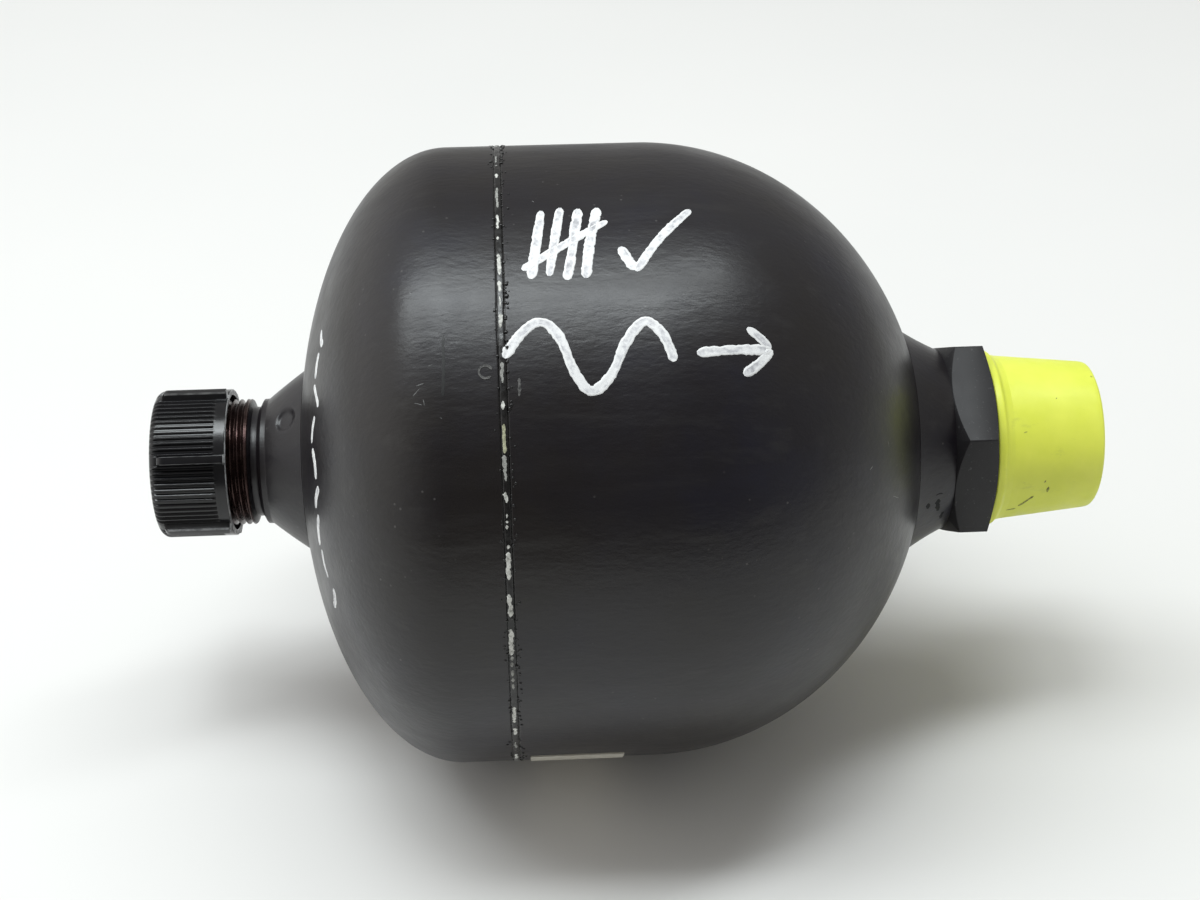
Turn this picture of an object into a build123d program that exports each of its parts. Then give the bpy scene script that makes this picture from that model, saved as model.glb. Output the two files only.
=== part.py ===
from build123d import *
import math
import os

# Welded diaphragm accumulator, lying on its side, in millimetres.
# The axis of revolution is X. The fluid port points along +X and the gas valve along -X.
# The origin is on the axis, in the sealing face of the port's hexagon.

# Pressure vessel
vessel_radius = 68.0
vessel_wall = 6.0
gas_dome_depth = 34.1
gas_belt = 11.1
fluid_belt = 30.2
fluid_dome_depth = 62.3

# Girth weld between the two halves
weld_root_half_width = 0.8
weld_face_half_width = 1.7
weld_crown = 0.35

# Rings behind the weld that hold the diaphragm's rim
backing_thickness = 2.0
backing_gas_reach = 7.0
backing_fluid_reach = 4.0
clamp_flange_height = 7.0
clamp_flange = 5.0
clamp_lip_thickness = 2.5

# Diaphragm
rubber_thickness = 2.5
rubber_clearance = 0.3
rim_bead_length = 9.0
rim_taper = 4.0
crown_blend_radius = 18.0
crown_flat_radius = 14.5

# Closing button, moulded into the diaphragm's crown
button_radius = 13.0
button_head = 2.0
button_neck_radius = 8.0
button_flange_radius = 11.0
button_flange = 1.8
button_edge = 0.5
button_seat_clearance = 0.1

# Bosses are welded on the domes, with a thin gap behind the skirt
boss_gap = 0.4
boss_weld_recess = 2.5

# Fluid port boss, hexagon and threaded stud
port_height = 17.8
port_skirt_radius = 25.2
port_skirt_edge = 0.4
port_spigot_radius = 16.0
port_collar_radius = 20.3
port_flare_sag = 0.2
hexagon_across_flats = 41.0
hexagon_length = 9.3
hexagon_chamfer = 2.2
hexagon_face_chamfer = 1.0
hexagon_turn_angle = 27.2
stud_radius = 16.5
stud_length = 13.5
stud_relief_width = 2.0
stud_relief_depth = 1.2
stud_chamfer = 1.0
port_thread_radius = 9.5
port_thread_depth = 16.0
port_thread_chamfer = 1.0
port_passage_radius = 5.0
drill_half_angle = 59.0

# Gas valve boss with its outside thread
neck_skirt_radius = 20.2
neck_spigot_radius = 12.0
neck_flare_length = 8.1
neck_flare_crown = 0.7
neck_collar_radius = 13.9
neck_collar_length = 1.2
neck_collar_chamfer = 0.8
neck_groove_radius = 12.15
neck_groove_length = 1.2
neck_thread_runout = 0.9
neck_thread_radius = 13.95
neck_thread_length = 17.1
neck_end_chamfer = 1.0

# Charging screw inside the gas valve boss, and its ring
screw_thread_radius = 7.0
screw_thread_length = 14.0
screw_end_chamfer = 1.0
screw_head_radius = 9.2
screw_head_length = 6.0
screw_socket_across_flats = 6.0
screw_socket_depth = 4.0
screw_seat_radius = 10.0
screw_seat_depth = 7.5
gas_passage_radius = 2.5
screw_ring_section = 0.85
screw_ring_centre_radius = 8.0
screw_ring_clearance = 0.05

# Protective cap on the gas valve, with flutes and ridges for grip
cap_radius = 16.25
cap_length = 16.4
cap_end_wall = 2.3
cap_end_round = 1.8
cap_thread_clearance = 0.25
cap_band_length = 2.5
cap_rim_chamfer = 0.5
grip_sectors = 6
grip_divisions = 13
flute_depth = 0.5
flute_mouth_width = 1.0
flute_root_width = 0.3
ridge_height = 1.6
ridge_tip_width = 1.5
ridge_draft_angle = 8.0
ridge_end_round = 1.5
ridge_rim_gap = 0.2
ridge_turn_angle = 23.1
gasket_thickness = 1.0
gasket_inner_radius = 10.4
gasket_edge_clearance = 0.3
gasket_seat_clearance = 0.1

# Push-on cap on the fluid port
plug_gap = 0.2
plug_length = 24.4
plug_mouth_radius = 18.55
plug_end_radius = 16.2
plug_wall = 0.85
plug_end_wall = 1.2
plug_end_round = 1.4
plug_lip_radius = 20.0
plug_lip_thickness = 1.6
plug_lip_sweep = 1.6
plug_lip_sweep_radius = 1.8


def dome_reach(radius, depth, at_radius):
    """Distance from a dome's base to its surface at a given radius."""
    return depth * math.sqrt(1.0 - (at_radius / radius) ** 2)


# Stations along the axis, worked out from the port's sealing face
fluid_dome_base = -port_height - dome_reach(
    vessel_radius + boss_gap, fluid_dome_depth + boss_gap, port_skirt_radius
)
seam_x = fluid_dome_base - fluid_belt
gas_dome_base = seam_x - gas_belt
inner_radius = vessel_radius - vessel_wall
clamp_outer_radius = inner_radius - backing_thickness
clamp_inner_radius = clamp_outer_radius - clamp_flange_height
port_spigot_face = fluid_dome_base + dome_reach(
    inner_radius, fluid_dome_depth - vessel_wall, port_spigot_radius
)
neck_spigot_face = gas_dome_base - dome_reach(
    inner_radius, gas_dome_depth - vessel_wall, neck_spigot_radius
)
neck_skirt_x = gas_dome_base - dome_reach(
    vessel_radius + boss_gap, gas_dome_depth + boss_gap, neck_skirt_radius
)
neck_collar_end = neck_skirt_x - neck_flare_length
neck_collar_start = neck_collar_end - neck_collar_length
neck_groove_end = neck_collar_start - neck_collar_chamfer
neck_groove_start = neck_groove_end - neck_groove_length
neck_thread_end = neck_groove_start - neck_thread_runout
neck_end = neck_thread_end - neck_thread_length
screw_seat_x = neck_end + screw_seat_depth
gasket_x = neck_end - gasket_seat_clearance - gasket_thickness
cap_end_x = gasket_x - cap_end_wall
cap_rim_x = cap_end_x + cap_length


# Sections are drawn in the XY plane, with Y as the radius, and turned about X
def region(*points):
    """A closed area with straight sides."""
    return make_face(Polyline(*points, close=True))


def band(start_x, end_x, inner, outer):
    """A rectangular area between two stations and two radii."""
    return region((start_x, inner), (end_x, inner), (end_x, outer), (start_x, outer))


def turned(section):
    """The solid that a section sweeps in a full turn about the axis."""
    return revolve(section, axis=Axis.X)


def vessel_outline(inset):
    """Half of the egg-shaped vessel, moved inward by a given distance."""
    radius = vessel_radius - inset
    gas_depth = gas_dome_depth - inset
    fluid_depth = fluid_dome_depth - inset
    gas_dome = EllipticalCenterArc((gas_dome_base, 0), gas_depth, radius, 90, arc_size=90)
    fluid_dome = EllipticalCenterArc((fluid_dome_base, 0), fluid_depth, radius, 0, arc_size=90)
    belt = Line((gas_dome_base, radius), (fluid_dome_base, radius))
    axis_line = Line((gas_dome_base - gas_depth, 0), (fluid_dome_base + fluid_depth, 0))
    return make_face([gas_dome, belt, fluid_dome, axis_line])


def weld_groove():
    """The slot that the girth weld fills, a little wider at its face."""
    return region(
        (seam_x - weld_root_half_width, inner_radius),
        (seam_x + weld_root_half_width, inner_radius),
        (seam_x + weld_face_half_width, vessel_radius),
        (seam_x - weld_face_half_width, vessel_radius),
    )


def make_shell(start_x, end_x, hole_radius):
    """One drawn half of the vessel, with the round hole for its boss."""
    wall = vessel_outline(0) - vessel_outline(vessel_wall)
    half = wall & band(start_x, end_x, hole_radius, 2 * vessel_radius)
    return turned(half - weld_groove())


def make_seam_weld():
    """The girth weld, slightly crowned."""
    crown_left = (seam_x - weld_face_half_width, vessel_radius)
    crown_top = (seam_x, vessel_radius + weld_crown)
    crown_right = (seam_x + weld_face_half_width, vessel_radius)
    crown = make_face([ThreePointArc(crown_left, crown_top, crown_right), Line(crown_right, crown_left)])
    return turned(weld_groove() + crown)


def make_boss_weld(start_x, end_x, spigot_radius, skirt_radius):
    """The thin weld ring between a dome and the back of its boss."""
    gap = vessel_outline(-boss_gap) - vessel_outline(0)
    return turned(gap & band(start_x, end_x, spigot_radius, skirt_radius - boss_weld_recess))


def make_backing_ring():
    """The band behind the girth weld, which keeps its heat off the rubber."""
    return turned(
        band(
            seam_x - backing_gas_reach,
            seam_x + backing_fluid_reach,
            clamp_outer_radius,
            inner_radius,
        )
    )


def make_clamp_ring():
    """The ring that traps the diaphragm's rim: a flange beside it and a lip inside it."""
    flange_end = seam_x + backing_fluid_reach
    flange = band(flange_end - clamp_flange, flange_end, clamp_inner_radius, clamp_outer_radius)
    lip = band(
        flange_end,
        flange_end + rim_bead_length,
        clamp_inner_radius,
        clamp_inner_radius + clamp_lip_thickness,
    )
    return turned(flange + lip)


def crown_faces():
    """Stations of the diaphragm's flat crown, on the fluid side and on the gas side."""
    fluid_face = port_spigot_face - button_seat_clearance - button_head
    return fluid_face, fluid_face - rubber_thickness


def make_diaphragm():
    """The rubber bowl, resting along the fluid half as it does under gas pressure alone."""
    outer_inset = vessel_wall + rubber_clearance
    inner_inset = outer_inset + rubber_thickness
    rim_start = seam_x + backing_fluid_reach
    rim_end = rim_start + rim_bead_length
    outer_radius = vessel_radius - outer_inset
    wall_radius = vessel_radius - inner_inset
    bead_radius = clamp_inner_radius + clamp_lip_thickness
    fluid_face, gas_face = crown_faces()
    bowl = vessel_outline(outer_inset) - vessel_outline(inner_inset)
    bowl = bowl & band(rim_start, 0, crown_blend_radius, outer_radius)
    bead = region(
        (rim_start, bead_radius),
        (rim_end, bead_radius),
        (rim_end + rim_taper, wall_radius),
        (rim_end + rim_taper, outer_radius),
        (rim_start, outer_radius),
    )
    blend_outer = fluid_dome_base + dome_reach(
        outer_radius, fluid_dome_depth - outer_inset, crown_blend_radius
    )
    blend_inner = fluid_dome_base + dome_reach(
        wall_radius, fluid_dome_depth - inner_inset, crown_blend_radius
    )
    crown = region(
        (blend_outer, crown_blend_radius),
        (fluid_face, crown_flat_radius),
        (fluid_face, button_neck_radius),
        (gas_face, button_neck_radius),
        (gas_face, crown_flat_radius),
        (blend_inner, crown_blend_radius),
    )
    return turned(bowl + bead + crown)


def make_closing_button():
    """The metal button that shuts the fluid port when the vessel is empty of fluid."""
    fluid_face, gas_face = crown_faces()
    seat_face = port_spigot_face - button_seat_clearance
    flange_end = gas_face - button_flange
    return turned(
        region(
            (seat_face, 0),
            (seat_face, button_radius - button_edge),
            (seat_face - button_edge, button_radius),
            (fluid_face, button_radius),
            (fluid_face, button_neck_radius),
            (gas_face, button_neck_radius),
            (gas_face, button_flange_radius),
            (flange_end + button_edge, button_flange_radius),
            (flange_end, button_flange_radius - button_edge),
            (flange_end, 0),
        )
    )


def port_bores():
    """The tapped port, its drilled cone and the passage into the vessel."""
    mouth = stud_length
    thread_end = mouth - port_thread_depth
    cone = (port_thread_radius - port_passage_radius) / math.tan(math.radians(drill_half_angle))
    return region(
        (mouth, 0),
        (mouth, port_thread_radius + port_thread_chamfer),
        (mouth - port_thread_chamfer, port_thread_radius),
        (thread_end, port_thread_radius),
        (thread_end - cone, port_passage_radius),
        (port_spigot_face, port_passage_radius),
        (port_spigot_face, 0),
    )


def make_port_boss():
    """The fluid port: spigot, flared skirt, hexagon, threaded stud and tapped bore."""
    skirt_front = -port_height + port_skirt_edge
    hexagon_start = -hexagon_length
    flare_middle_x = (skirt_front + hexagon_start) / 2 - port_flare_sag
    flare_middle_radius = (port_skirt_radius + port_collar_radius) / 2 - port_flare_sag
    flare = ThreePointArc(
        (skirt_front, port_skirt_radius),
        (flare_middle_x, flare_middle_radius),
        (hexagon_start, port_collar_radius),
    )
    sides = Polyline(
        (hexagon_start, port_collar_radius),
        (0, port_collar_radius),
        (0, 0),
        (fluid_dome_base, 0),
        (fluid_dome_base, port_skirt_radius),
        (skirt_front, port_skirt_radius),
    )
    head = make_face([flare, sides]) - vessel_outline(-boss_gap)
    spigot = band(port_spigot_face, 0, 0, port_spigot_radius)
    relief_radius = stud_radius - stud_relief_depth
    stud = region(
        (0, 0),
        (0, relief_radius),
        (stud_relief_width, relief_radius),
        (stud_relief_width + stud_relief_depth, stud_radius),
        (stud_length - stud_chamfer, stud_radius),
        (stud_length, stud_radius - stud_chamfer),
        (stud_length, 0),
    )
    body = turned(head + spigot + stud - port_bores())
    corner_radius = hexagon_across_flats / 2 / math.cos(math.radians(30))
    chamfer_cone = region(
        (hexagon_start, 0),
        (hexagon_start, port_collar_radius),
        (hexagon_start + hexagon_chamfer, corner_radius),
        (-hexagon_face_chamfer, corner_radius),
        (0, port_collar_radius),
        (0, 0),
    )
    hexagon_plane = Plane.YZ.offset(hexagon_start)
    outline = RegularPolygon(corner_radius, 6, rotation=hexagon_turn_angle)
    hexagon = extrude(hexagon_plane * outline, amount=hexagon_length)
    hexagon = hexagon & turned(chamfer_cone)
    core = turned(band(hexagon_start, 0, 0, port_spigot_radius))
    return body + (hexagon - core)


def make_neck_boss():
    """The gas valve boss: spigot, flare, collar, groove and outside thread."""
    flare_middle_x = (neck_collar_end + neck_skirt_x) / 2 - neck_flare_crown
    flare_middle_radius = (neck_collar_radius + neck_skirt_radius) / 2 + neck_flare_crown
    flare = ThreePointArc(
        (neck_collar_end, neck_collar_radius),
        (flare_middle_x, flare_middle_radius),
        (neck_skirt_x, neck_skirt_radius),
    )
    sides = Polyline(
        (neck_skirt_x, neck_skirt_radius),
        (gas_dome_base, neck_skirt_radius),
        (gas_dome_base, 0),
        (neck_end, 0),
        (neck_end, neck_thread_radius - neck_end_chamfer),
        (neck_end + neck_end_chamfer, neck_thread_radius),
        (neck_thread_end, neck_thread_radius),
        (neck_groove_start, neck_groove_radius),
        (neck_groove_end, neck_groove_radius),
        (neck_collar_start, neck_collar_radius),
        (neck_collar_end, neck_collar_radius),
    )
    head = make_face([flare, sides]) - vessel_outline(-boss_gap)
    spigot = band(neck_end + screw_seat_depth, neck_spigot_face, 0, neck_spigot_radius)
    section = head + spigot
    section = section - band(neck_end, screw_seat_x, 0, screw_seat_radius)
    section = section - band(screw_seat_x, screw_seat_x + screw_thread_length, 0, screw_thread_radius)
    section = section - band(screw_seat_x, neck_spigot_face, 0, gas_passage_radius)
    section = section - ring_groove()
    return turned(section)


def ring_groove():
    """The groove under the charging screw's head."""
    half_width = screw_ring_section + screw_ring_clearance
    return band(
        screw_seat_x,
        screw_seat_x + 2 * half_width,
        screw_thread_radius,
        screw_ring_centre_radius + half_width,
    )


def make_charging_screw():
    """The socket-head screw that closes the gas side."""
    head_end = screw_seat_x - screw_head_length
    thread_end = screw_seat_x + screw_thread_length
    body = turned(
        region(
            (head_end, 0),
            (head_end, screw_head_radius - screw_end_chamfer),
            (head_end + screw_end_chamfer, screw_head_radius),
            (screw_seat_x, screw_head_radius),
            (screw_seat_x, screw_thread_radius),
            (thread_end - screw_end_chamfer, screw_thread_radius),
            (thread_end, screw_thread_radius - screw_end_chamfer),
            (thread_end, 0),
        )
    )
    socket = Plane.YZ.offset(head_end) * RegularPolygon(
        screw_socket_across_flats / 2, 6, major_radius=False
    )
    return body - extrude(socket, amount=screw_socket_depth)


def make_screw_ring():
    """The round ring under the charging screw's head."""
    half_width = screw_ring_section + screw_ring_clearance
    centre = (screw_seat_x + half_width, screw_ring_centre_radius)
    return turned(Pos(*centre) * Circle(screw_ring_section))


def make_gasket():
    """The flat ring between the neck's end and the floor of its cap."""
    outer = neck_thread_radius - gasket_edge_clearance
    return turned(band(gasket_x, gasket_x + gasket_thickness, gasket_inner_radius, outer))


def ridge_outlines():
    """Cross-sections of the cap's grip ridges, drawn from below the flutes to past the tips."""
    root = cap_radius - 2 * flute_depth
    tip = cap_radius + ridge_height
    beyond = tip + ridge_height
    draft = math.tan(math.radians(ridge_draft_angle))
    root_half_width = ridge_tip_width / 2 + (tip - root) * draft
    beyond_half_width = ridge_tip_width / 2 - (beyond - tip) * draft
    ridge = Polygon(
        (root, -root_half_width),
        (beyond, -beyond_half_width),
        (beyond, beyond_half_width),
        (root, root_half_width),
        align=None,
    )
    turns = [ridge_turn_angle + sector * 360 / grip_sectors for sector in range(grip_sectors)]
    return [Rot(0, 0, turn) * ridge for turn in turns]


def flute_outlines():
    """Cross-sections of the flutes between the ridges, drawn out past the surface."""
    root = cap_radius - flute_depth
    beyond = cap_radius + flute_depth
    beyond_width = 2 * flute_mouth_width - flute_root_width
    flute = Polygon(
        (root, -flute_root_width / 2),
        (beyond, -beyond_width / 2),
        (beyond, beyond_width / 2),
        (root, flute_root_width / 2),
        align=None,
    )
    flutes = grip_sectors * grip_divisions
    turns = [ridge_turn_angle + (index + 1 / 2) * 360 / flutes for index in range(flutes)]
    return [Rot(0, 0, turn) * flute for turn in turns]


def cap_limit():
    """Lengthwise section that the cap's fluted body and ridges stay within."""
    end_round = cap_end_x + cap_end_round
    ridge_full = end_round + ridge_end_round
    tip = cap_radius + ridge_height
    return make_face(
        [
            Line((cap_end_x, 0), (cap_end_x, cap_radius - cap_end_round)),
            RadiusArc((cap_end_x, cap_radius - cap_end_round), (end_round, cap_radius), cap_end_round),
            EllipticalCenterArc(
                (ridge_full, cap_radius), ridge_end_round, ridge_height, 90, arc_size=90
            ),
            Polyline(
                (ridge_full, tip),
                (cap_rim_x, tip),
                (cap_rim_x, 0),
                (cap_end_x, 0),
            ),
        ]
    )


def make_valve_cap():
    """The moulded grip cap on the gas valve."""
    round_outline = Sketch() + Circle(cap_radius)
    ridges = ridge_outlines()
    band_outline = round_outline + ridges
    grip_outline = round_outline - flute_outlines() + ridges
    band_start = cap_rim_x - cap_band_length
    ridge_end = cap_rim_x - ridge_rim_gap
    body = extrude(Plane.YZ.offset(cap_end_x) * grip_outline, amount=band_start - cap_end_x)
    body += extrude(Plane.YZ.offset(band_start) * band_outline, amount=ridge_end - band_start)
    body += extrude(Plane.YZ.offset(ridge_end) * round_outline, amount=ridge_rim_gap)
    bore_radius = neck_thread_radius + cap_thread_clearance
    bore = region(
        (cap_end_x + cap_end_wall, 0),
        (cap_end_x + cap_end_wall, bore_radius),
        (cap_rim_x - cap_rim_chamfer, bore_radius),
        (cap_rim_x, bore_radius + cap_rim_chamfer),
        (cap_rim_x, 0),
    )
    return (body & turned(cap_limit())) - turned(bore)


def make_port_cap():
    """The tapered push-on cap that guards the fluid port."""
    rim = plug_gap
    end = plug_gap + plug_length
    lip_end = rim + plug_lip_thickness
    skin_start = lip_end + plug_lip_sweep
    slope = (plug_mouth_radius - plug_end_radius) / (end - skin_start)
    round_start = end - plug_end_round
    round_radius = plug_end_radius + slope * plug_end_round
    lip_curve = RadiusArc(
        (lip_end, plug_lip_radius), (skin_start, plug_mouth_radius), -plug_lip_sweep_radius
    )
    round_base = plug_end_radius - plug_end_round
    end_curve = EllipticalCenterArc(
        (round_start, round_base), plug_end_round, round_radius - round_base, 0, arc_size=90
    )
    outer = make_face(
        [
            Polyline((end, 0), (rim, 0), (rim, plug_lip_radius), (lip_end, plug_lip_radius)),
            lip_curve,
            Line((skin_start, plug_mouth_radius), (round_start, round_radius)),
            end_curve,
            Line((end, round_base), (end, 0)),
        ]
    )
    inner_mouth = plug_mouth_radius + slope * (skin_start - rim) - plug_wall
    inner_end = plug_end_radius + slope * plug_end_wall - plug_wall
    hollow = region(
        (rim, 0),
        (rim, inner_mouth),
        (end - plug_end_wall, inner_end),
        (end - plug_end_wall, 0),
    )
    return turned(outer - hollow)


def main():
    gas_start = gas_dome_base - gas_dome_depth
    fluid_end = fluid_dome_base + fluid_dome_depth + boss_gap
    parts = {
        "gas_shell": make_shell(gas_start, seam_x, neck_spigot_radius),
        "fluid_shell": make_shell(seam_x, fluid_end, port_spigot_radius),
        "seam_weld": make_seam_weld(),
        "backing_ring": make_backing_ring(),
        "clamp_ring": make_clamp_ring(),
        "diaphragm": make_diaphragm(),
        "closing_button": make_closing_button(),
        "port_boss": make_port_boss(),
        "port_boss_weld": make_boss_weld(
            fluid_dome_base, fluid_end, port_spigot_radius, port_skirt_radius
        ),
        "neck_boss": make_neck_boss(),
        "neck_boss_weld": make_boss_weld(
            gas_start - boss_gap, gas_dome_base, neck_spigot_radius, neck_skirt_radius
        ),
        "charging_screw": make_charging_screw(),
        "charging_screw_ring": make_screw_ring(),
        "cap_gasket": make_gasket(),
        "valve_cap": make_valve_cap(),
        "port_cap": make_port_cap(),
    }
    os.makedirs("parts", exist_ok=True)
    for name, shape in parts.items():
        export_step(shape, f"parts/{name}.step")


main()
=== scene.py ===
import math
import random

import bmesh
import bpy
import numpy as np
from mathutils import Matrix, Vector, noise


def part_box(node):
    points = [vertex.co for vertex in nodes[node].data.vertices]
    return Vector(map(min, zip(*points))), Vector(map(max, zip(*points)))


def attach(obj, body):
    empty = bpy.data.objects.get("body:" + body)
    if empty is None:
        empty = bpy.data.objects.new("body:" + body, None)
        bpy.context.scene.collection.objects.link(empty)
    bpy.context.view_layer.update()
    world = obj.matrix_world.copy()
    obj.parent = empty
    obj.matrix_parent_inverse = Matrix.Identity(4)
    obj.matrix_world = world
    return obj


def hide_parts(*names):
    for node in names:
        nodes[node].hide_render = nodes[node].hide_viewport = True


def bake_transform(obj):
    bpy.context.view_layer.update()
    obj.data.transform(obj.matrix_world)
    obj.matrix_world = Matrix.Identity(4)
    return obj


# Diaphragm accumulator lying on its side. Lengths are in millimetres until a mesh is made.
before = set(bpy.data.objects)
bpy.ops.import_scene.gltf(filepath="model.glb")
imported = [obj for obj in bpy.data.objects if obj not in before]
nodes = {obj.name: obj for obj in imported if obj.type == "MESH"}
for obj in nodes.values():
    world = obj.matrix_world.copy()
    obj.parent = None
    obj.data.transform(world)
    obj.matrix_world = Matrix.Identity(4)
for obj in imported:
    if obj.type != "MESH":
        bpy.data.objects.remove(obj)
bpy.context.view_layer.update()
MM = 0.001
dice = random.Random(5)


def span(node):
    """First and last station of a node along the axis."""
    low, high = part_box(node)
    return low[0] / MM, high[0] / MM


# Stations and sizes that the pieces share
seam_x = sum(span("seam_weld")) / 2
vessel_radius = 68.0
inner_radius = 62.0
gas_belt = 11.1
gas_depth = 34.1
fluid_belt = 30.2
fluid_depth = 62.3
gas_base = seam_x - gas_belt
fluid_base = seam_x + fluid_belt
neck_end = span("neck_boss")[0]
cap_end, cap_rim = span("valve_cap")
plug_rim, plug_end = span("port_cap")
thread_pitch = 1.5


# Camera of the photograph, which is 1200 by 900 pixels
focal = 1852.8
camera_at = np.array([seam_x + 2.247, -342.236, 236.772])
yaw, pitch, roll = 0.0542714, 0.6045954, -0.0023403
look = np.array([math.sin(yaw) * math.cos(pitch), math.cos(yaw) * math.cos(pitch), -math.sin(pitch)])
level = np.array([math.cos(yaw), -math.sin(yaw), 0.0])
above = np.cross(level, look)
image_right = math.cos(roll) * level + math.sin(roll) * above
image_up = -math.sin(roll) * level + math.cos(roll) * above


def vessel_profile(x):
    """Outside radius of the vessel at a station."""
    if x < gas_base:
        share = (gas_base - x) / gas_depth
    elif x > fluid_base:
        share = (x - fluid_base) / fluid_depth
    else:
        share = 0.0
    return vessel_radius * math.sqrt(max(0.0, 1 - share * share))


def on_surface(u, v, profile=vessel_profile):
    """Point of a turned surface that a pixel of the photograph shows."""
    ray = look + image_right * (u - 600) / focal - image_up * (v - 450) / focal
    ray = ray / np.linalg.norm(ray)
    best = None
    away = 250.0
    while away < 600.0:
        p = camera_at + ray * away
        gap = math.hypot(p[1], p[2]) - profile(p[0])
        if best is None or gap < best[0]:
            best = (gap, away)
        if gap < 0:
            break
        away += 0.5
    near, far = best[1] - 0.5, best[1]
    for _ in range(20):
        middle = (near + far) / 2
        p = camera_at + ray * middle
        if math.hypot(p[1], p[2]) < profile(p[0]):
            far = middle
        else:
            near = middle
    return Vector(camera_at + ray * far)


def on_vessel(u, v):
    """Station and angle of the point on the vessel that a pixel of the photograph shows."""
    p = on_surface(u, v)
    return p.x, math.atan2(p.z, p.y)


# Flat outlines
def arc(centre, radii, start, end, steps):
    """Points on an ellipse, angles in degrees."""
    turns = [math.radians(start + (end - start) * k / steps) for k in range(steps + 1)]
    return [(centre[0] + radii[0] * math.cos(t), centre[1] + radii[1] * math.sin(t)) for t in turns]


def rounded(points, steps=4):
    """A closed outline whose corners (x, r, radius) are rounded."""
    out = []
    count = len(points)
    for k, point in enumerate(points):
        radius = point[2] if len(point) > 2 else 0.0
        here = Vector(point[:2])
        if radius <= 0:
            out.append(tuple(point[:2]))
            continue
        before = Vector(points[k - 1][:2]) - here
        after = Vector(points[(k + 1) % count][:2]) - here
        half = before.angle(after) / 2
        back = min(radius / math.tan(half), 0.49 * before.length, 0.49 * after.length)
        radius = back * math.tan(half)
        middle = (before.normalized() + after.normalized()).normalized() * (radius / math.sin(half))
        start = before.normalized() * back - middle
        end = after.normalized() * back - middle
        for j in range(steps + 1):
            share = j / steps
            spoke = (start * (1 - share) + end * share).normalized() * radius
            out.append(tuple(here + middle + spoke))
    return out


def even_angles(count):
    return [2 * math.pi * k / count for k in range(count)]


def ring_mesh(name, angles, profile, closed=True):
    """A mesh turned about the axis. profile(angle) gives the section's points at that angle."""
    columns = [profile(a) for a in angles]
    rows = len(columns[0])
    verts = [
        (x * MM, r * math.cos(a) * MM, r * math.sin(a) * MM)
        for a, column in zip(angles, columns)
        for x, r in column
    ]
    faces = []
    last = rows if closed else rows - 1
    for j in range(len(angles)):
        k = (j + 1) % len(angles)
        for i in range(last):
            n = (i + 1) % rows
            faces.append((j * rows + i, j * rows + n, k * rows + n, k * rows + i))
    mesh = bpy.data.meshes.new(name)
    mesh.from_pydata(verts, [], faces)
    return tidy(mesh)


def tidy(mesh, sharp=40.0):
    """Merges doubled points, turns faces outward and shades smoothly but for sharp edges."""
    work = bmesh.new()
    work.from_mesh(mesh)
    bmesh.ops.remove_doubles(work, verts=work.verts, dist=1e-7)
    bmesh.ops.recalc_face_normals(work, faces=work.faces)
    work.to_mesh(mesh)
    work.free()
    mesh.polygons.foreach_set("use_smooth", [True] * len(mesh.polygons))
    mesh.set_sharp_from_angle(angle=math.radians(sharp))
    return mesh


def place(name, mesh, material, body, stands_for=()):
    """Puts a mesh in the scene as a piece that rides on a body."""
    obj = bpy.data.objects.new(name, mesh)
    bpy.context.scene.collection.objects.link(obj)
    if material is not None:
        mesh.materials.append(material)
    if body:
        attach(obj, body)
    if stands_for:
        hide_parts(*stands_for)
    return obj


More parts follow.
